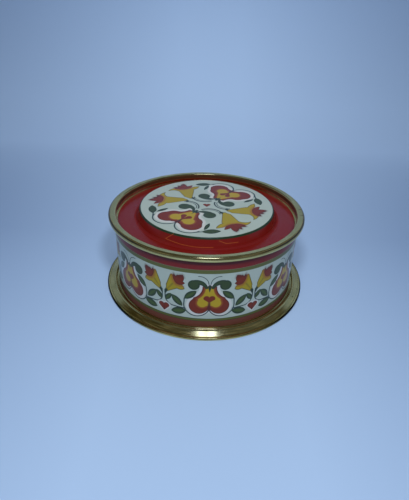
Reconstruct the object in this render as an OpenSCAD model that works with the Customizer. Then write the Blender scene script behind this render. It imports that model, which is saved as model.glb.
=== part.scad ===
// Round printed tin with a lift-off lid: three pressings of thin tinplate, each one sheet bent along
// a section and spun about the upright axis. Millimetres, standing on z = 0, seam at the back (+Y).

/* [Sheet] */
// Thickness of the tinplate
sheet = 0.3; // [0.2:0.05:0.45]

/* [Wall] */
// Outside diameter of the printed wall
wall_d = 122.2; // [90:0.2:170]
// Height of the top of the mouth bead above the table
mouth_z = 54.05; // [35:0.05:90]
// Outside diameter of the bead rolled at the mouth
mouth_bead_d = 1.1; // [1:0.05:1.6]
// Bend radius, at mid sheet, where the wall turns out into its flange
wall_foot_bend = 1.2; // [0.6:0.1:1.8]
// Reach of the wall's flange past its outer face
wall_flange = 2.2; // [1.8:0.1:4]
// Width of the folded lock seam at the back
seam_w = 5; // [3:0.5:8]
// Upright distance left free between the lock seam and the bends or the lid's plug
seam_notch = 1; // [0.5:0.1:3]

/* [Lid] */
// Gap between the rim's underside and the mouth bead it rests on
lid_seat_gap = 0.15; // [0.1:0.05:0.3]
// Gap between the top of the plug wall and the inside of the mouth
plug_clearance = 0.8; // [0.3:0.05:1.5]
// Run of the plug wall's taper over its depth
plug_draft = 0.35; // [0:0.05:1]
// Depth of the sunken panel below the inner edge of the rim
panel_depth = 5.2; // [3.5:0.1:9]
// Width of the sunken panel, from the plug wall to the foot of the medallion
panel_w = 12.5; // [6:0.1:20]
// Height of the medallion's top above the inner edge of the rim
medallion_rise = 1.1; // [-1:0.1:4]
// Slope of the medallion's side from the level
medallion_slope = 66; // [45:1:80]
// Bend radius of the medallion's shoulder, at mid sheet
shoulder_bend = 1.2; // [0.5:0.1:2]
// Bend radius at the foot of the medallion, at mid sheet
panel_bend = 1; // [0.5:0.1:2]
// Bend radius at both ends of the plug wall, at mid sheet
plug_bend = 0.5; // [0.4:0.1:1]
// Slope of the rim, up from the plug wall to its rolled edge, in degrees
rim_slope = 3; // [0:0.5:6]
// Gap between the mouth bead and the inner lip of the rim's rolled edge
rim_clearance = 0.6; // [0.3:0.05:2]
// Height of the rim's rolled edge
rim_roll_h = 3.6; // [2.4:0.1:5]
// Straight lip at the end of the rim's roll
rim_lip = 0.2; // [0.1:0.05:0.5]

/* [Base] */
// Height of the seat under the wall's flange
seat_z = 2; // [1.6:0.1:4]
// Gap between the wall's flange and the seat below it
seat_gap = 0.05; // [0.02:0.01:0.1]
// Height of the raised floor panel above the seat
floor_rise = 0.75; // [0.3:0.05:2]
// Level margin between the wall and the raised floor panel
floor_margin = 8; // [4:0.5:15]
// Run of the slope round the raised floor panel
floor_slope_w = 1.5; // [1:0.1:4]
// Gap between the edge of the wall's flange and the side of its groove
groove_clearance = 0.2; // [0.1:0.05:0.5]
// Height of the foot's crest above the seat, at the corner of its section
crest_rise = 1.9; // [1.5:0.1:3]
// Run of the foot's sloping face, from the groove to the crease at the rolled edge
foot_slope_w = 4.3; // [3:0.1:9]
// Height of that crease above the table
crease_z = 1.5; // [1:0.05:1.6]
// Bend radius of the foot's crest, at mid sheet
crest_bend = 0.8; // [0.4:0.1:1]
// Bend radius of the groove and of the crease, at mid sheet
groove_bend = 0.4; // [0.3:0.05:0.5]
// Height of the foot's rolled edge
foot_roll_h = 1.9; // [1.8:0.1:3]
// Width of the foot's rolled edge, outside the crease
foot_roll_w = 1.9; // [1.8:0.1:3]
// Bend radius of the foot's rolled edge, at mid sheet
foot_roll_bend = 0.7; // [0.4:0.05:0.7]
// Width of the lip turned in under the rolled edge, which the tin stands on
foot_lip = 1.4; // [1:0.1:2]

/* [Hidden] */
$fn = 144;
half = sheet / 2;
// Largest turn between two neighbouring points of a bend, in degrees
bend_step = 12;

// Wall, at mid sheet
wall_r = wall_d / 2 - half;
bead_bend = (mouth_bead_d - sheet) / 2;
bead_side = 2 * bead_bend;
flange_r = wall_d / 2 + wall_flange;
flange_z = seat_z + seat_gap + half;

// Lid, at mid sheet; the sloping rim lies on the crown of the mouth bead
plug_top_r = wall_r - plug_clearance - sheet;
plug_foot_r = plug_top_r - plug_draft;
seat_rise = (wall_r + bead_bend - plug_top_r) * tan(rim_slope);
rim_z = mouth_z + lid_seat_gap + half / cos(rim_slope) - seat_rise;
panel_z = rim_z - panel_depth;
medallion_z = rim_z + medallion_rise;
medallion_foot_r = plug_foot_r - half - panel_w;
medallion_top_r = medallion_foot_r - (medallion_z - panel_z) / tan(medallion_slope);
rim_bend = (rim_roll_h - sheet) / (1 + tan(45 + rim_slope / 2));
rim_end_r = wall_r - half + mouth_bead_d + rim_clearance;
rim_r = rim_end_r + rim_lip + rim_bend;
rim_edge_z = rim_z + (rim_r - plug_top_r) * tan(rim_slope);
rim_foot_z = rim_edge_z - rim_roll_h + sheet;

// Lock seam, a third and fourth layer of the same sheet folded flat inside the wall
seam_foot_z = flange_z + wall_foot_bend + seam_notch;
seam_top_z = panel_z - half - seam_notch;
seam_turn = 360 * seam_w / (PI * wall_d);
seam_layers = 2;

// Base, at mid sheet
pan_z = seat_z - half;
floor_z = pan_z + floor_rise;
floor_edge_r = wall_r - floor_margin;
groove_r = flange_r + groove_clearance + half;
crease_r = groove_r + foot_slope_w;
foot_r = crease_r + foot_roll_w - half;
foot_top_z = foot_roll_h - half;

// Unit heading from one point of a section to the next
function heading(a, b) = let (d = [b[0] - a[0], b[1] - a[1]]) d / norm(d);

// Signed turn between two headings, to the left positive
function turn(u, v) = atan2(u[0] * v[1] - u[1] * v[0], u * v);

// Turn at corner i of a section, none at its two ends
function corner_turn(c, i) =
    i == 0 || i == len(c) - 1 ? 0 : turn(heading(c[i - 1], c[i]), heading(c[i], c[i + 1]));

// Length that the bend at corner i takes off the straight run on each side
function setback(c, i) = c[i][2] * tan(abs(corner_turn(c, i)) / 2);

// The point of a corner, without its bend radius
function place(c, i) = [c[i][0], c[i][1]];

// Left-hand normal of a heading
function left(u) = [-u[1], u[0]];

// Points of one face of the sheet round the bend at corner i, at a distance to the left of mid sheet
function bend_face(c, i, offset) =
    let (
        u = heading(c[i - 1], c[i]),
        angle = corner_turn(c, i),
        inward = left(u) * sign(angle),
        centre = place(c, i) - u * setback(c, i) + inward * c[i][2],
        radius = c[i][2] - offset * sign(angle),
        start = atan2(-inward[1], -inward[0]),
        steps = ceil(abs(angle) / bend_step)
    )
    [for (k = [0:steps]) centre + radius * [cos(start + angle * k / steps), sin(start + angle * k / steps)]];

// One whole face of the sheet, from the first corner of a section to its last
function sheet_face(c, offset) =
    let (n = len(c) - 1)
    concat(
        [place(c, 0) + offset * left(heading(c[0], c[1]))],
        [for (i = [1:n - 1]) each bend_face(c, i, offset)],
        [place(c, n) + offset * left(heading(c[n - 1], c[n]))]
    );

// Points of a list from its last to its first
function reversed(p) = [for (i = [len(p) - 1:-1:0]) p[i]];

// Sheet bent along a chain of corners, each [radius, height, bend radius], and spun about the axis
module pressing(c) {
    rotate_extrude()
        polygon(concat(sheet_face(c, -half), reversed(sheet_face(c, half))));
}

// Lid: medallion, sunken panel, plug wall, rim and rolled edge drawn from one blank
module lid() {
    color("firebrick") pressing([
        [0, medallion_z, 0],
        [medallion_top_r, medallion_z, shoulder_bend],
        [medallion_foot_r, panel_z, panel_bend],
        [plug_foot_r, panel_z, plug_bend],
        [plug_top_r, rim_z, plug_bend],
        [rim_r, rim_edge_z, rim_bend],
        [rim_r, rim_foot_z, rim_bend],
        [rim_end_r, rim_foot_z, 0]
    ]);
}

// Wall: a strip with its mouth bead rolled outwards, its foot flange and the lock seam
module body_wall() {
    color("ivory") {
        pressing([
            [flange_r, flange_z, 0],
            [wall_r, flange_z, wall_foot_bend],
            [wall_r, mouth_z - half, bead_bend],
            [wall_r + bead_side, mouth_z - half, bead_bend],
            [wall_r + bead_side, mouth_z - half - bead_side, bead_bend],
            [wall_r + bead_bend, mouth_z - half - bead_side, 0]
        ]);
        rotate([0, 0, 90 - seam_turn / 2])
            rotate_extrude(angle = seam_turn)
                translate([wall_r - half - seam_layers * sheet, seam_foot_z])
                    square([seam_layers * sheet + half, seam_top_z - seam_foot_z]);
    }
}

// Base: floor, seat of the wall's flange, crest, sloping foot and rolled edge pressed from one blank
module base() {
    color("goldenrod") pressing([
        [0, floor_z, 0],
        [floor_edge_r, floor_z, groove_bend],
        [floor_edge_r + floor_slope_w, pan_z, groove_bend],
        [groove_r, pan_z, groove_bend],
        [groove_r, seat_z + crest_rise, crest_bend],
        [crease_r, crease_z, groove_bend],
        [foot_r, foot_top_z, foot_roll_bend],
        [foot_r, half, foot_roll_bend],
        [foot_r - foot_lip, half, 0]
    ]);
}

lid();
body_wall();
base();
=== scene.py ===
import math

import bmesh
import bpy
from mathutils import Matrix, Vector


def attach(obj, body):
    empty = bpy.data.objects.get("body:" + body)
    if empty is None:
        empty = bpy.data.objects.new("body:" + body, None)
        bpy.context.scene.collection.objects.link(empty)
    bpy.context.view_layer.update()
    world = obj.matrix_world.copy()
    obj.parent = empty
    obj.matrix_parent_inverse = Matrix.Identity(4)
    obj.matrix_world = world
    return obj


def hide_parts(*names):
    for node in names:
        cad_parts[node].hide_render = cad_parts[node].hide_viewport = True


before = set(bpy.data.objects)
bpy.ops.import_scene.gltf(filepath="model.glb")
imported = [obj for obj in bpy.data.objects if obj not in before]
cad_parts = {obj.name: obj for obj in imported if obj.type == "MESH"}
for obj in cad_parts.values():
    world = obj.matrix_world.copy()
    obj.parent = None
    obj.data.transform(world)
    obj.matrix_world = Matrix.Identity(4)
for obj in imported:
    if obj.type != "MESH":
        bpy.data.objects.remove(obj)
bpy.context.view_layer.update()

# Base: one blank of tinplate pressed into a floor, the groove that takes the wall's flange, a crest with
# a fine bead, a sloping foot and a rolled edge that the tin stands on. It is bright tinplate under a clear
# gold lacquer on both sides, hazy from wear, with painted shade in its creases and on its edge at the sides
# and back.
MM = 0.001
SHEET = 0.3
# Flats round the tin, and along each bend of its sheet
FLATS = 230
BEND_STEPS = 6
# Points closer than this are one corner of a section, and edges sharper than this turn stay sharp.
SAME_CORNER = 0.01
SHARP_TURN = math.radians(50)
GOLD = (0.76, 0.61, 0.25, 1)
GOLD_DEEP = (0.62, 0.48, 0.17, 1)
# Dark metal for pinholes and specks, also the painted shade in the base's creases.
TARNISH_AND_SHADE = (0.06, 0.04, 0.015, 1)
# Near-black painted shade on the base's rolled edge.
EDGE_SHADE_BLACK = (0.008, 0.009, 0.007, 1)
# Corners of the sheet at its middle: radius from the tin's axis, height and bend radius.
BASE_SECTION = [
    (0, 2.6, 0),
    (52.95, 2.6, 0.4),
    (54.45, 1.85, 0.4),
    (63.65, 1.85, 0.4),
    (63.29, 3.95, 0.58),
    (64.35, 3.95, 0.58),
    (64.8, 3.15, 0.2),
    (67.95, 1.5, 0.4),
    (69.7, 1.75, 0.7),
    (69.7, 0.15, 0.7),
    (68.3, 0.15, 0),
]
# Radii of the creases, and the width of the painted shade in each.
BEAD_CREASE_R = 64.8
ROLL_CREASE_R = 67.9
CREASE_SHADE_W = 0.3
# Radius beyond which the rolled edge has painted shade.
EDGE_SHADE_R = 69
# Dark specks in the lacquer: place seen from above and radius.
SPECKS = [
    ((64.9, -18.6), 0.5),
    ((60, -28), 0.5),
    ((-47.1, -46.3), 0.35),
    ((21.4, -63.7), 0.3),
    ((-62.9, 17.6), 0.45),
    ((38.2, 55.4), 0.5),
]


def pick(chosen):
    """Selects, in edit mode, the vertices whose place passes a test, with the faces between them."""
    bpy.ops.mesh.select_all(action="DESELECT")
    mesh = bmesh.from_edit_mesh(bpy.context.edit_object.data)
    for vertex in mesh.verts:
        vertex.select_set(chosen(vertex.co))
    mesh.select_flush(True)
    bmesh.update_edit_mesh(bpy.context.edit_object.data)


def press(name, section, outward, *finishes):
    """Bends a sheet at each corner (radius, height, bend) of a section in mm and spins it about the axis.

    outward is the way the sheet's outer side faces on its widest flat. Two finishes are for the outer and
    the inner side.
    """
    bpy.ops.object.select_all(action="DESELECT")
    bpy.ops.mesh.primitive_plane_add(size=SHEET * MM)
    sheet = bpy.context.object
    sheet.name = sheet.data.name = name
    for finish in finishes:
        sheet.data.materials.append(bpy.data.materials.new(finish))
    bpy.ops.object.mode_set(mode="EDIT")
    bpy.ops.mesh.merge(type="CENTER")
    places = [Vector((radius, 0, height)) * MM for radius, height, bend in section]
    bends = [bend for radius, height, bend in section]
    bpy.ops.transform.translate(value=places[0])
    for start, end in zip(places, places[1:]):
        bpy.ops.mesh.extrude_region_move(TRANSFORM_OT_translate={"value": end - start})
    for before, corner, after, bend in zip(places, places[1:], places[2:], bends[1:]):
        turn = (corner - before).angle(after - corner)
        pick(lambda place: (place - corner).length < SAME_CORNER * MM)
        bpy.ops.mesh.bevel(
            affect="VERTICES",
            offset=bend * MM * math.tan(turn / 2),
            segments=BEND_STEPS,
            clamp_overlap=False,
        )
    bpy.ops.mesh.select_all(action="SELECT")
    bpy.ops.mesh.spin(steps=FLATS, angle=math.tau, center=(0, 0, 0), axis=(0, 0, 1))
    bpy.ops.mesh.select_all(action="SELECT")
    bpy.ops.mesh.remove_doubles(threshold=SAME_CORNER / 10 * MM)
    bpy.ops.mesh.normals_make_consistent(inside=False)
    widest = max(bmesh.from_edit_mesh(sheet.data).faces, key=lambda face: face.calc_area())
    side = widest.calc_center_median() if outward == "round" else Vector((0, 0, 1))
    if widest.normal.dot(side) < 0:
        bpy.ops.mesh.flip_normals()
    bpy.ops.object.mode_set(mode="OBJECT")
    thickness = sheet.modifiers.new("thickness", "SOLIDIFY")
    thickness.thickness = SHEET * MM
    thickness.offset = 0
    thickness.use_even_offset = True
    thickness.material_offset = thickness.material_offset_rim = 1
    bpy.ops.object.modifier_apply(modifier=thickness.name)
    return sheet


def smooth(sheet):
    """Shades the bends round and keeps the flats flat."""
    bpy.ops.object.shade_smooth_by_angle(angle=SHARP_TURN)
    flats = sheet.modifiers.new("flats", "WEIGHTED_NORMAL")
    flats.keep_sharp = True
    flats.weight = 80
    bpy.ops.object.modifier_apply(modifier=flats.name)


class Value:
    """A socket in a finish's nodes. A sum of values, or of values and numbers, adds Math nodes."""

    def __init__(self, socket):
        self.socket = socket

    def node(self, kind, settings, inputs, output=0):
        """Adds a node of any kind: its settings first, then what its sockets hold or are linked to."""
        tree = self.socket.id_data
        made = tree.nodes.new("ShaderNode" + kind)
        for name, setting in settings.items():
            setattr(made, name, setting)
        for place, value in inputs.items():
            if isinstance(value, Value):
                tree.links.new(value.socket, made.inputs[place])
            else:
                made.inputs[place].default_value = value
        return Value(made.outputs[output])

    def math(self, operation, *values, clamp=False):
        """Adds a Math node."""
        return self.node("Math", {"operation": operation, "use_clamp": clamp}, dict(enumerate(values)))

    def __add__(self, other):
        return self.math("ADD", self, other)

    def __radd__(self, other):
        return self.math("ADD", other, self)

    def __sub__(self, other):
        return self.math("SUBTRACT", self, other)

    def __rsub__(self, other):
        return self.math("SUBTRACT", other, self)

    def __mul__(self, other):
        return self.math("MULTIPLY", self, other)

    def __rmul__(self, other):
        return self.math("MULTIPLY", other, self)

    def __neg__(self):
        return self.math("MULTIPLY", self, -1)

    def __abs__(self):
        return self.math("ABSOLUTE", self)

    def least(self, other):
        """The lower of two values: both shapes together, where the values are distances."""
        return self.math("MINIMUM", self, other)

    def most(self, other):
        """The higher of two values: what two shapes share, where the values are distances."""
        return self.math("MAXIMUM", self, other)

    def flow_into(self, other, reach):
        """The lower of two distances, with the corner between them filled out over a reach in mm."""
        return self.math("SMOOTH_MIN", self, other, reach)

    def share(self, low, high):
        """0 where this value is low, 1 where it is high, and even steps between."""
        scale = 1 / (high - low)
        return self.math("MULTIPLY_ADD", self, scale, -low * scale, clamp=True)

    def inside(self, soft):
        """1 where a distance is below zero and 0 where it is above, over an edge soft mm wide."""
        return self.share(soft / 2, -soft / 2)

    def noise(self, size, detail=2, stretch=(1, 1, 1)):
        """Cloudy noise from 0 to 1 with spots of about a size in mm, at places in mm."""
        spot = self.node("VectorMath", {"operation": "MULTIPLY"}, {0: self, 1: stretch})
        return self.node("TexNoise", {}, {"Vector": spot, "Scale": 1 / size, "Detail": detail})

    def blend(self, start, end):
        """A colour from start, where this value is 0, to end, where it is 1."""
        return self.node("Mix", {"data_type": "RGBA"}, {0: self, 6: start, 7: end}, 2)


def open_finish(sheet, side=0):
    """Shader of a sheet's outer side (0) or inner side (1), and the place on the sheet in mm."""
    finish = sheet.data.materials[side]
    finish.use_nodes = True
    shader = finish.node_tree.nodes["Principled BSDF"]
    start = Value(shader.inputs["Base Color"])
    place = start.node("TexCoord", {}, {}, "Object")
    return shader, place.node("VectorMath", {"operation": "SCALE"}, {0: place, "Scale": 1 / MM})


def feed(shader, **values):
    """Links values to the shader's sockets, whose names are written with _ for a space."""
    for name, value in values.items():
        shader.id_data.links.new(value.socket, shader.inputs[name.replace("_", " ")])


def part_of(place, axis):
    """The X, Y or Z of a place."""
    return place.node("SeparateXYZ", {}, {0: place}, axis)


def from_above(place):
    """A place as it is seen from above, with no height."""
    return place.node("VectorMath", {"operation": "MULTIPLY"}, {0: place, 1: (1, 1, 0)})


def round_place(place):
    """Radius from the tin's axis, turn from the front towards +X, and height, at a place in mm."""
    flat = from_above(place)
    radius = flat.node("VectorMath", {"operation": "LENGTH"}, {0: flat}, "Value")
    turn = place.math("ARCTAN2", part_of(place, "X"), -part_of(place, "Y"))
    return radius, turn, part_of(place, "Z")


def lacquer(place):
    """Colour, roughness and surface height of gold lacquer: uneven, with pinholes and a fine grain."""
    cloud = place.noise(9, 3)
    grain = place.noise(0.7, 2)
    pits = place.noise(1.3, 1)
    colour = cloud.share(0.3, 0.7).blend(GOLD_DEEP, GOLD)
    colour = pits.share(0.22, 0.19).blend(colour, TARNISH_AND_SHADE)
    roughness = 0.09 + cloud * 0.05 + grain * 0.04
    height = grain * 0.0006 + cloud * 0.0012
    return colour, roughness, height


def bump(height):
    """A surface normal from a height in mm."""
    return height.node("Bump", {}, {"Height": height, "Distance": MM, "Strength": 1}, "Normal")


def lacquered(sheet, side):
    """Covers one side of a sheet with plain gold lacquer."""
    shader, place = open_finish(sheet, side)
    colour, roughness, height = lacquer(place)
    feed(shader, Base_Color=colour, Roughness=roughness, Normal=bump(height))
    shader.inputs["Metallic"].default_value = 1


def disc(at, centre, radius):
    """Distance in mm from the edge of a disc, below zero inside it."""
    return at.node("VectorMath", {"operation": "DISTANCE"}, {0: at, 1: (*centre, 0)}, "Value") - radius


def all_of(*shapes):
    """Distance from the edge of several shapes together."""
    whole = shapes[0]
    for shape in shapes[1:]:
        whole = whole.least(shape)
    return whole


base = press("base", BASE_SECTION, "up", "gold lacquer")
shader, place = open_finish(base)
colour, roughness, height = lacquer(place)
radius, turn, level = round_place(place)
# Painted shade: dark lines in the creases at the fine bead and at the rolled edge.
crease_shade = abs(radius - ROLL_CREASE_R).least(abs(radius - BEAD_CREASE_R)) - CREASE_SHADE_W / 2
# Painted shade: the edge is near-black at the sides and the back, and stays bright at the front.
edge_shade = (EDGE_SHADE_R - radius).inside(0.3) * abs(turn).share(0.3, 0.8)
colour = (crease_shade.inside(0.5) * 0.4).blend(colour, TARNISH_AND_SHADE)
colour = edge_shade.blend(colour, EDGE_SHADE_BLACK)
flat = from_above(place)
specks = all_of(*(disc(flat, spot, size) for spot, size in SPECKS))
colour = (specks.inside(0.3) * 0.85).blend(colour, TARNISH_AND_SHADE)
streaks = turn.node("CombineXYZ", {}, {0: radius, 1: turn * 3}).noise(0.6, 3)
haze = streaks.share(0.48, 0.72)
feed(
    shader,
    Base_Color=colour,
    Metallic=1 - haze * 0.14,
    Roughness=roughness + haze * 0.05,
    Normal=bump(height),
)
smooth(base)
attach(base, "box")
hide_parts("base")

# Wall: one printed strip of tinplate rolled into a cylinder and closed by a lock seam, a plain line at the
# back. Its mouth is rolled into a bead, and its foot flange is held in the base's groove. The print is a
# frieze of seven pear-shaped hearts with tulips and leaves between them, under gloss varnish.
WALL_R = 61.1
WALL_SECTION = [
    (63.3, 2.2, 0),
    (60.95, 2.2, 1.2),
    (60.95, 53.9, 0.39),
    (61.75, 53.9, 0.39),
    (61.75, 53.1, 0.39),
    (61.35, 53.1, 0),
]
# The printed side is bare above and below these heights, and in a line down the seam.
PRINT_FOOT = 3.3
PRINT_TOP = 52.4
SEAM_LINE_W = 0.7
# The red bands reach up and down from these heights, and dust with a painted sheen lies below the last one.
RED_FOOT = 7.65
RED_TOP = 44.75
DUST_AND_SHEEN_TOP = 7.5
HEARTS = 7
HALF_REPEAT = math.pi * WALL_R / HEARTS
# The nearest heart stands a little to the right of the front.
FIRST_HEART = math.radians(3.1)


def ink(red, green, blue):
    """A printing ink, from its look on a scale of 0 to 255."""
    return *((((level / 255) + 0.055) / 1.055) ** 2.4 for level in (red, green, blue)), 1


CREAM = ink(150, 165, 160)
HALO = ink(176, 180, 180)
RED = ink(101, 19, 16)
HEART_RED = ink(99, 33, 9)
HEART_EDGE = ink(72, 26, 18)
ORANGE = ink(128, 72, 24)
YOLK = ink(150, 131, 22)
YELLOW = ink(139, 125, 12)
OLIVE = ink(84, 76, 24)
GREEN = ink(78, 85, 42)
LEAF_GREEN = ink(45, 61, 32)
LEAF_LIGHT = ink(59, 80, 33)
DARK_GREEN = ink(27, 45, 31)
LINE_GREEN = ink(42, 58, 62)
# Grey of dirt on the print, also of the painted sheen low on the wall.
DIRT_AND_SHEEN = ink(84, 84, 70)
# Green lines round the wall: height of the middle, width, ink and how soft the edge is.
GREEN_BANDS = [
    (43.45, 2.5, GREEN, 0.1),
    (8.85, 1.7, GREEN, 0.1),
    (7.85, 0.4, DARK_GREEN, 0.1),
    (9.6, 0.4, DARK_GREEN, 0.2),
]


def ring(at, centre, radius, width):
    """Distance from the edge of a drawn circle of a line width."""
    return abs(disc(at, centre, radius)) - width / 2


def leaf(at, stalk, tip, width):
    """Distance from the edge of a leaf: two equal arcs that meet at its stalk and its tip."""
    stalk, tip = Vector(stalk), Vector(tip)
    length = (tip - stalk).length
    radius = (length**2 + width**2) / (4 * width)
    aside = (tip - stalk).orthogonal().normalized() * (radius - width / 2)
    middle = (stalk + tip) / 2
    return disc(at, middle + aside, radius).most(disc(at, middle - aside, radius))


def stroke(at, start, end, start_w, end_w):
    """Distance from the edge of a straight brush stroke with round ends, from one width to another."""
    start, run = Vector((*start, 0)), Vector((*end, 0)) - Vector((*start, 0))
    pull = run / run.length_squared
    along = at.node("VectorMath", {"operation": "DOT_PRODUCT"}, {0: at, 1: pull}, "Value")
    along = along.math("SUBTRACT", along, start.dot(pull), clamp=True)
    nearest = at.node("VectorMath", {"operation": "MULTIPLY_ADD"}, {0: run, 1: along, 2: start})
    away = at.node("VectorMath", {"operation": "DISTANCE"}, {0: at, 1: nearest}, "Value")
    return away - (start_w + along * (end_w - start_w)) * 0.5


def paint(ground, shape, colour, soft=0.1):
    """Lays a colour on a ground wherever a shape's distance is below zero."""
    return shape.inside(soft).blend(ground, colour)


def paint_leaves(ground, shape):
    """Lays a green shape with a dark edge on a ground."""
    ground = paint(ground, shape, DARK_GREEN)
    return paint(ground, shape + 0.7, LEAF_GREEN, 0.9)


def paint_tulip(ground, cup, crown, tips):
    """Lays a yellow cup, and the red crown with dark tips that stands in it, on a ground."""
    ground = paint(ground, cup, OLIVE)
    ground = paint(ground, cup + 0.5, YELLOW, 0.5)
    ground = paint(ground, (crown - 1).most(cup + 0.3), ORANGE, 2.2)
    ground = paint(ground, crown, HEART_EDGE)
    ground = paint(ground, crown + 0.4, HEART_RED, 0.4)
    return paint(ground, crown.most(tips), HEART_EDGE, 2.4)


def paint_heart(ground, heart, yolk):
    """Lays a red heart with a yellow middle on a ground."""
    ground = paint(ground, heart, HEART_EDGE)
    ground = paint(ground, heart + 0.45, HEART_RED, 0.4)
    ground = paint(ground, yolk - 0.7, ORANGE, 1.6)
    return paint(ground, yolk, YOLK, 0.5)


def frieze(at, level):
    """The wall's print at a place (distance from the nearest heart's axis, height) in mm."""
    neck = disc(at, (0, 25.6), 9.2).most(-disc(at, (12.5, 33), 8.35))
    heart = disc(at, (6.1, 19.3), 5.9).flow_into(neck, 2).most(level - 33.6)
    ground = paint(CREAM, heart - 1.6, HALO, 0.6)
    stems = all_of(
        ring(at, (7.2, 19.4), 7.7, 0.75).most(level - 20),
        stroke(at, (14.9, 19.6), (14.6, 24), 0.75, 0.75),
        stroke(at, (26.5, 27.4), (26.5, 22.6), 0.8, 0.75),
        ring(at, (20.9, 22.7), 5.6, 0.75).most(disc(at, (27.6, 15.4), 7.6)),
        stroke(at, (21.2, 17.1), (14.2, 16.6), 0.75, 1),
        ring(at, (6, 35), 5.4, 0.45).most(disc(at, (1.6, 39.4), 5.2)).most(35.2 - level),
        stroke(at, (0.6, 35.2), (0, 33.2), 0.45, 0.45),
    )
    ground = paint(ground, stems, LINE_GREEN)
    for stalk, tip, width in [
        ((14.7, 23.8), (7.5, 30.2), 4.3),
        ((13.6, 15.1), (22.8, 12.9), 5.2),
        ((15.8, 18), (22.4, 25.3), 4.4),
        ((26.4, 20.3), (22.6, 25.7), 3.3),
    ]:
        ground = paint_leaves(ground, leaf(at, stalk, tip, width))
        ground = paint(ground, leaf(at, stalk, tip, width * 0.4) + 0.3, LEAF_LIGHT, 1)
    yolk_neck = disc(at, (0, 26.5), 6.9).most(-disc(at, (12, 32.5), 9.8))
    yolk = disc(at, (4.1, 21.4), 2.9).flow_into(yolk_neck, 1.2).most(heart + 0.8)
    ground = paint_heart(ground, heart, yolk)
    ground = paint(ground, stroke(at, (0, 17.5), (0, 22.5), 2.2, 1), HEART_EDGE, 1)
    ground = paint(ground, stroke(at, (0, 22.2), (1.6, 25), 0.6, 3.7), HEART_RED)
    ground = paint(ground, stroke(at, (0, 29.3), (0, 33.4), 0, 2.2), DARK_GREEN)
    scroll = disc(at, (7.2, 31.7), 6.25).most(-disc(at, (6.5, 30.3), 4.3))
    scroll = scroll.most(disc(at, (3.5, 35.5), 5.8)).most(31.9 - level)
    ground = paint_leaves(ground, scroll.least(disc(at, (9.1, 34.2), 3.4)))
    cup = all_of(
        stroke(at, (25.5, 27.4), (21.2, 32.8), 2, 7.6),
        stroke(at, (23.1, 31.2), (22.1, 38.6), 5.4, 2.2),
        leaf(at, (21.2, 33.4), (14.4, 30.6), 4.4),
    )
    crown = all_of(
        leaf(at, (19.4, 33.8), (20.8, 40.3), 2),
        leaf(at, (19, 33.5), (18.4, 39.9), 3.4),
        leaf(at, (19.4, 33.6), (15.4, 40.3), 4.8),
        leaf(at, (20.2, 34.7), (14.2, 34.7), 3.2),
    )
    ground = paint_tulip(ground, cup, crown, 38.6 - level)
    ground = paint(ground, stroke(at, (24.8, 28.6), (21.6, 33), 0.1, 0.5), OLIVE, 1.2)
    ground = paint(ground, stroke(at, (26.3, 25.6), (25.6, 27.6), 1.3, 1.8), DARK_GREEN, 0.3)
    small_heart = stroke(at, (HALF_REPEAT, 11.6), (HALF_REPEAT - 1.6, 16), 0, 3.8)
    ground = paint(ground, small_heart - 0.8, HALO, 0.6)
    ground = paint(ground, small_heart, HEART_EDGE)
    return paint(ground, small_heart + 0.4, HEART_RED, 0.6)


def varnish(shader, place, colour, bare, dull):
    """Finishes a printed side: gloss varnish over the print, dull in places, and gold where it is bare."""
    gold, gold_rough, height = lacquer(place)
    cloud = place.noise(12, 4)
    smear = place.noise(3.5, 3, (1, 1, 0.35))
    colour = (cloud.share(0.42, 0.75) * smear.share(0.35, 0.7) * 0.1).blend(colour, DIRT_AND_SHEEN)
    print_rough = 0.2 + cloud * 0.06 + dull * 0.4
    shader.inputs["Specular IOR Level"].default_value = 0.32
    feed(
        shader,
        Base_Color=bare.blend(colour, gold),
        Metallic=bare,
        Roughness=print_rough + bare * (gold_rough - print_rough),
        Normal=bump(height),
    )


wall = press("body_wall", WALL_SECTION, "round", "wall print", "lacquer inside the wall")
shader, place = open_finish(wall)
radius, turn, level = round_place(place)
along = (turn - FIRST_HEART) * WALL_R
along = along.math("PINGPONG", along, HALF_REPEAT)
at = along.node("CombineXYZ", {}, {0: along, 1: level})
colour = frieze(at, level)
for middle, width, band_ink, soft in GREEN_BANDS:
    colour = paint(colour, abs(level - middle) - width / 2, band_ink, soft)
colour = paint(colour, (RED_TOP - level).least(level - RED_FOOT), RED)
# Dust, and a painted sheen that greys the lower red band.
dust_and_sheen = (level - DUST_AND_SHEEN_TOP).inside(0.8)
colour = (dust_and_sheen * 0.4).blend(colour, DIRT_AND_SHEEN)
from_seam = (math.pi - abs(turn)) * WALL_R
bare = all_of(PRINT_TOP - level, level - PRINT_FOOT, from_seam - SEAM_LINE_W / 2).inside(0.1)
varnish(shader, place, colour, bare, dust_and_sheen.most(0.15))
lacquered(wall, 1)
smooth(wall)
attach(wall, "box")
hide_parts("body_wall")

# Lid: one drawn blank of tinplate. A raised medallion, a sunken red panel, a plug wall that drops inside
# the mouth, a sloping rim and a rolled edge are all the same sheet. It lies loose on the mouth bead. The
# medallion and the panel are printed, and the gold rim has painted shade on the plug wall and on its rolled
# edge, which is also nicked.
LID_SECTION = [
    (0, 55.37, 0),
    (44.05, 55.37, 1.2),
    (46.85, 49.07, 1),
    (59.5, 49.07, 0.5),
    (59.85, 54.27, 0.8),
    (64.31, 54.5, 1.58),
    (64.31, 51.2, 1.58),
    (62.5, 51.2, 0),
]
# Turn of the medallion's print: its two hearts lie on this line, its two pairs of tulips across it.
HEART_LINE = math.radians(54.5)
# The print was laid a little nearer the front than the medallion that was pressed into it.
PRINT_SHIFT = (0, 0.8, 0)
# Radii where the cream, the green line round it and the red of the panel end.
CREAM_R = 43.6
GREEN_LINE_R = 44.6
PANEL_R = 58.7
SCRATCH_AND_GLINT = ink(150, 76, 36)
SCRATCH_W = 0.22
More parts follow.
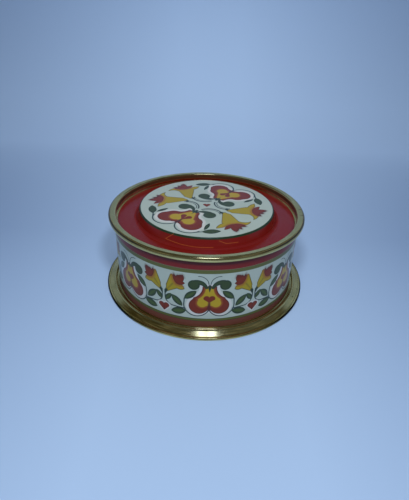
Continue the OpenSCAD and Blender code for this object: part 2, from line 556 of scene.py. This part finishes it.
# Scratches in the red side of the medallion, at its front, and a painted highlight in the middle of the
# first one near the side's foot: way along the side and height.
SCRATCHES_AND_GLINT = [
    [(-19.8, 55.1), (-24.4, 51.5), (-14.9, 50.7), (-5.9, 50.3), (4.4, 50.4)],
    [(7.9, 53.8), (12, 52.1), (19.5, 51.9)],
]
SIDE_R = 45.5
SIDE_FOOT_R = 47.3
# The varnish is dull in the crease at the foot of the medallion.
CREASE_R = 47.4
CREASE_W = 1.4
# Heights and radii between which the plug wall has painted shade, brown.
PLUG_SHADE_BROWN = ink(66, 40, 25)
PLUG_FOOT = 51.1
PLUG_TOP = 53.4
PLUG_INNER_R = 58.9
PLUG_OUTER_R = 60.6
# The rolled edge has painted shade underneath and in a line round its shoulder.
NICK_AND_SHADE_DARK = ink(34, 34, 24)
ROLL_UNDER_Z = 52
ROLL_INNER_R = 61
SHOULDER_Z = 54.05
SHOULDER_R = 63


def medallion(at, over):
    """The lid's print, at a place (way along the hearts' line, way across it) and at an upright place."""
    neck = disc(at, (22.4, 0), 10.4).most(-disc(at, (12.3, 12.2), 7.8))
    heart = stroke(at, (28.2, 9.3), (24.6, 8.2), 13.4, 11).flow_into(neck, 1.5)
    heart = heart.most(-disc(at, (37.5, 0), 6.1))
    ground = paint(CREAM, heart - 1.8, HALO, 0.6)
    curl = ring(at, (10.4, 9.5), 8.6, 1).least(ring(at, (10.4, 9.5), 7.1, 0.55))
    stems = all_of(
        ring(at, (29.6, 8.9), 9.05, 0.9).most(disc(at, (43, 5), 17.2)),
        stroke(at, (34.6, 16.4), (30.6, 19.8), 0.9, 0.8),
        curl.most(disc(at, (0, 7), 9.6)),
    )
    ground = paint(ground, stems, LINE_GREEN)
    for stalk, tip, width in [((31.3, 19.3), (23.3, 27.6), 5.2), ((28.5, 19.2), (19.6, 16.6), 2.6)]:
        ground = paint_leaves(ground, leaf(at, stalk, tip, width))
    yolk = disc(at, (25.8, 5.2), 3.7).least(stroke(at, (22.5, 0), (13, 0), 12, 2.4)).most(heart + 0.7)
    ground = paint_heart(ground, heart, yolk)
    ground = paint(ground, stroke(at, (30.5, 0), (26, 0), 3, 1.2), HEART_EDGE, 1)
    ground = paint(ground, stroke(at, (26.2, 0), (21.5, 2.1), 0.6, 3.8), HEART_RED)
    ground = paint(ground, stroke(at, (16.8, 0), (11, 0), 0, 2.4), DARK_GREEN)
    scroll = disc(at, (14.5, 8.5), 7.9).most(-disc(at, (14.6, 5.7), 3.9)).most(disc(at, (9.5, 4.5), 5.6))
    ground = paint_leaves(ground, scroll.least(disc(at, (10.8, 10.2), 4.1)))
    cup = all_of(
        stroke(at, (2.6, 16), (7.4, 25.3), 3.2, 15.6),
        leaf(at, (10, 25.6), (22.6, 23.3), 4.4),
        disc(at, (4.6, 29), 6.8),
    )
    cup = cup.most(-stroke(at, (0, 19), (0, 29), 1.2, 12)).most(0.7 - part_of(at, "X"))
    crown = all_of(
        leaf(at, (11.5, 28.3), (20.8, 28.3), 3.4),
        leaf(at, (11.3, 28.3), (18.4, 35.2), 5),
        leaf(at, (11.3, 28.5), (13.4, 36), 3.6),
        leaf(at, (11.3, 28.5), (8.8, 36.3), 3.6),
    )
    ground = paint_tulip(ground, cup, crown, 34 - part_of(at, "Y"))
    ground = paint(ground, disc(at, (3.1, 14), 1.3), DARK_GREEN, 0.3)
    return paint(ground, stroke(over, (0, -2.7), (1.15, 0.8), 0, 2.7), HEART_RED)


def scratches_and_glint(turn, level, radius):
    """Distance from the edge of the scratches, and of the painted highlight among them, in the side of the
    medallion.
    """
    at = turn.node("CombineXYZ", {}, {0: turn * SIDE_R, 1: level})
    lines = [
        stroke(at, start, end, SCRATCH_W, SCRATCH_W)
        for path in SCRATCHES_AND_GLINT
        for start, end in zip(path, path[1:])
    ]
    return all_of(*lines).most(radius - SIDE_FOOT_R)


lid = press("lid", LID_SECTION, "up", "lid print", "lacquer inside the lid")
shader, place = open_finish(lid)
radius, turn, level = round_place(place)
upright = place.node("VectorMath", {"operation": "ADD"}, {0: place, 1: PRINT_SHIFT})
turned = upright.node("Mapping", {}, {0: upright, "Rotation": (0, 0, -HEART_LINE), "Scale": (1, 1, 0)})
at = turned.node("VectorMath", {"operation": "ABSOLUTE"}, {0: turned})
over = upright.node("CombineXYZ", {}, {0: abs(part_of(upright, "X")), 1: part_of(upright, "Y")})
colour = medallion(at, over)
colour = paint(colour, CREAM_R - radius, DARK_GREEN)
colour = paint(colour, GREEN_LINE_R - radius, RED)
# Scratches, and a painted highlight near the foot of the medallion's side.
colour = paint(colour, scratches_and_glint(turn, level, radius), SCRATCH_AND_GLINT)
flat = from_above(place)
nicks = all_of(
    stroke(flat, (61, -1), (64.4, -0.5), 0.3, 1),
    stroke(flat, (60.6, -9.1), (63.2, -9.4), 0.3, 0.9),
    disc(flat, (-60.9, 12.2), 0.3),
    disc(flat, (-24.6, 57.3), 0.4),
)
roll_under_shade = (level - ROLL_UNDER_Z).most(ROLL_INNER_R - radius)
# The line of painted shade is narrow at the front and wider at the sides and the back.
shoulder_shade = abs(level - SHOULDER_Z) + 0.1 - abs(turn).share(0.2, 0.7) * 0.5
nicks_and_edge_shade = all_of(nicks, roll_under_shade, shoulder_shade.most(SHOULDER_R - radius))
# Painted shade under the rolled edge and round its shoulder, and the dark nicks.
colour = paint(colour, nicks_and_edge_shade - 0.1, NICK_AND_SHADE_DARK, 0.1)
# Above zero on the plug wall's painted shade
plug_shade = all_of(PLUG_TOP - level, level - PLUG_FOOT, radius - PLUG_INNER_R, PLUG_OUTER_R - radius)
colour = paint(colour, -plug_shade, PLUG_SHADE_BROWN, 0.4)
bare = (PANEL_R - radius).most(-nicks_and_edge_shade).most(plug_shade).inside(0.1)
crease = (abs(radius - CREASE_R) - CREASE_W / 2).inside(0.6)
varnish(shader, place, colour, bare, crease)
lacquered(lid, 1)
smooth(lid)
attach(lid, "lid")
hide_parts("lid")

# Stage: a sheet of pale blue paper that lies under the tin and sweeps up behind it. Its colour has painted
# shade, darker to its sides, further back and up the sweep, and painted light high up the sweep and far out
# at its sides.
PAPER_NEAR = ink(166, 194, 230)
PAPER_FAR = ink(118, 143, 180)
PAPER_W = 3
PAPER_MIDDLE_Y = -0.9
SWEEP_H = 0.46
SWEEP_BEND = 0.35
bpy.ops.object.select_all(action="DESELECT")
bpy.ops.mesh.primitive_plane_add(size=PAPER_W, location=(0, PAPER_MIDDLE_Y, 0))
paper = bpy.context.object
paper.name = "paper"
paper.data.materials.append(bpy.data.materials.new("paper"))
bpy.ops.object.transform_apply(location=True)
bpy.ops.object.mode_set(mode="EDIT")
pick(lambda place: place.y > 0)
bpy.ops.mesh.extrude_region_move(TRANSFORM_OT_translate={"value": (0, 0, SWEEP_H)})
pick(lambda place: place.y > 0 and place.z < SWEEP_H / 2)
bpy.ops.mesh.bevel(offset=SWEEP_BEND, segments=16, affect="EDGES")
bpy.ops.object.mode_set(mode="OBJECT")
bpy.ops.object.shade_smooth()
shader, place = open_finish(paper)
across = abs(part_of(place, "X") * MM)
depth = part_of(place, "Y") * MM
up = part_of(place, "Z") * MM
# Painted shade on the paper, and painted light high up the sweep and far out at its sides.
behind = depth.share(0.06, 0.3)
side_shade = across.most(0.05).least(0.45) * (4.5 - behind * 3)
table_shade = (1 - behind) * (depth + 0.16) * 0.45
sweep_shade = up.share(0.04, 0.25) * 0.35
top_glow = up.share(0.36, 0.39) * 0.4
shade = side_shade + table_shade + sweep_shade - top_glow
shade = shade.share(0, 1) * across.share(0.62, 0.46)
feed(shader, Base_Color=shade.blend(PAPER_NEAR, PAPER_FAR))
shader.inputs["Roughness"].default_value = 0.9
shader.inputs["Specular IOR Level"].default_value = 0.1

# Light: two soft lamps in front, a key lamp overhead, a wide lamp for the paper behind the tin, a weak fill
# at the tin's back, and two bluish panes overhead that show only in what shines. The room is even, and its
# ceiling and front look dark in the metal.
SOFT_FORWARD = 0.69
PANE_BLUE = (0.43, 0.56, 1)
ROOM_LIGHT = (0.12, 0.122, 0.125, 1)
CEILING_DARK = (0.04, 0.04, 0.026, 1)
CEILING_PALE = (0.1, 0.125, 0.16, 1)


def flat_lamp(place, tilt, turn, size, watts):
    """A lamp of a size (width, depth) in metres that faces down, tilted and turned by angles in degrees."""
    angles = (math.radians(tilt), 0, math.radians(turn))
    bpy.ops.object.light_add(type="AREA", location=place, rotation=angles)
    lamp = bpy.context.object
    lamp.data.shape = "RECTANGLE"
    lamp.data.size, lamp.data.size_y = size
    lamp.data.energy = watts
    return lamp


for side in (-0.2, 0.27):
    turn = math.degrees(math.atan2(side, SOFT_FORWARD))
    soft = flat_lamp((side, -SOFT_FORWARD, 0.86), 43, turn, (0.14, 0.14), 5.4)
    soft.visible_glossy = False
key = flat_lamp((0, -0.2, 0.7), 0, 0, (0.25, 0.25), 0.7)
key.visible_glossy = False
rear = flat_lamp((0, 0.12, 0.75), 45, 0, (0.8, 0.2), 0.26)
rear.data.spread = math.radians(100)
rear.visible_glossy = False
fill = flat_lamp((0, 0.36, 0.42), -42, 0, (0.3, 0.3), 0.24)
fill.visible_camera = fill.visible_glossy = False
for side in (-0.009, 0.061):
    pane = flat_lamp((side, -0.14, 0.62), 0, 0, (0.058, 0.22), 0.26)
    pane.data.color = PANE_BLUE
    pane.visible_camera = pane.visible_diffuse = False
world = bpy.data.worlds.new("room")
world.use_nodes = True
bpy.context.scene.world = world
sky = world.node_tree.nodes["Background"]
start = Value(sky.inputs["Color"])
way = start.node("TexCoord", {}, {}, "Generated")
height = part_of(way, "Z")
back = part_of(way, "Y")
right = part_of(way, "X")
ceiling = (height - abs(right) * 0.15).share(0.46, 0.52)
front = (height - back * 0.86).share(0.38, 0.48)
overhead = height.share(0.62, 0.78) * back.share(-0.4, 0.3) * right.share(-0.55, 0.1)
shadows = overhead.most((-back).share(0.3, 0.55)).blend(CEILING_DARK, CEILING_PALE)
walls = ceiling.most(front).blend(PAPER_FAR, shadows)
seen = start.node("LightPath", {}, {}, "Is Camera Ray")
for kind in ("Is Glossy Ray", "Is Transmission Ray"):
    seen = seen.most(start.node("LightPath", {}, {}, kind))
feed(sky, Color=seen.blend(ROOM_LIGHT, walls))

# Camera: as close to the tin and as steep as the photograph's, with its slight turn and roll. The focal
# length is in pixels of the photograph.
PHOTO_W = 409
PHOTO_H = 500
FOCAL = 385
SENSOR_W = 36
LOOK_DOWN = 31.806
LOOK_ASIDE = 0.136
ROLL = 1.85
bpy.ops.object.camera_add(location=(0, -0.23418, 0.16513))
camera = bpy.context.object
camera.rotation_euler = (
    Matrix.Rotation(math.radians(LOOK_ASIDE), 4, "Z")
    @ Matrix.Rotation(math.radians(90 - LOOK_DOWN), 4, "X")
    @ Matrix.Rotation(math.radians(ROLL), 4, "Z")
).to_euler()
camera.data.sensor_width = SENSOR_W
camera.data.lens = SENSOR_W * FOCAL / max(PHOTO_W, PHOTO_H)
camera.data.clip_start = 0.01
bpy.context.scene.camera = camera
bpy.context.scene.view_settings.view_transform = "Standard"
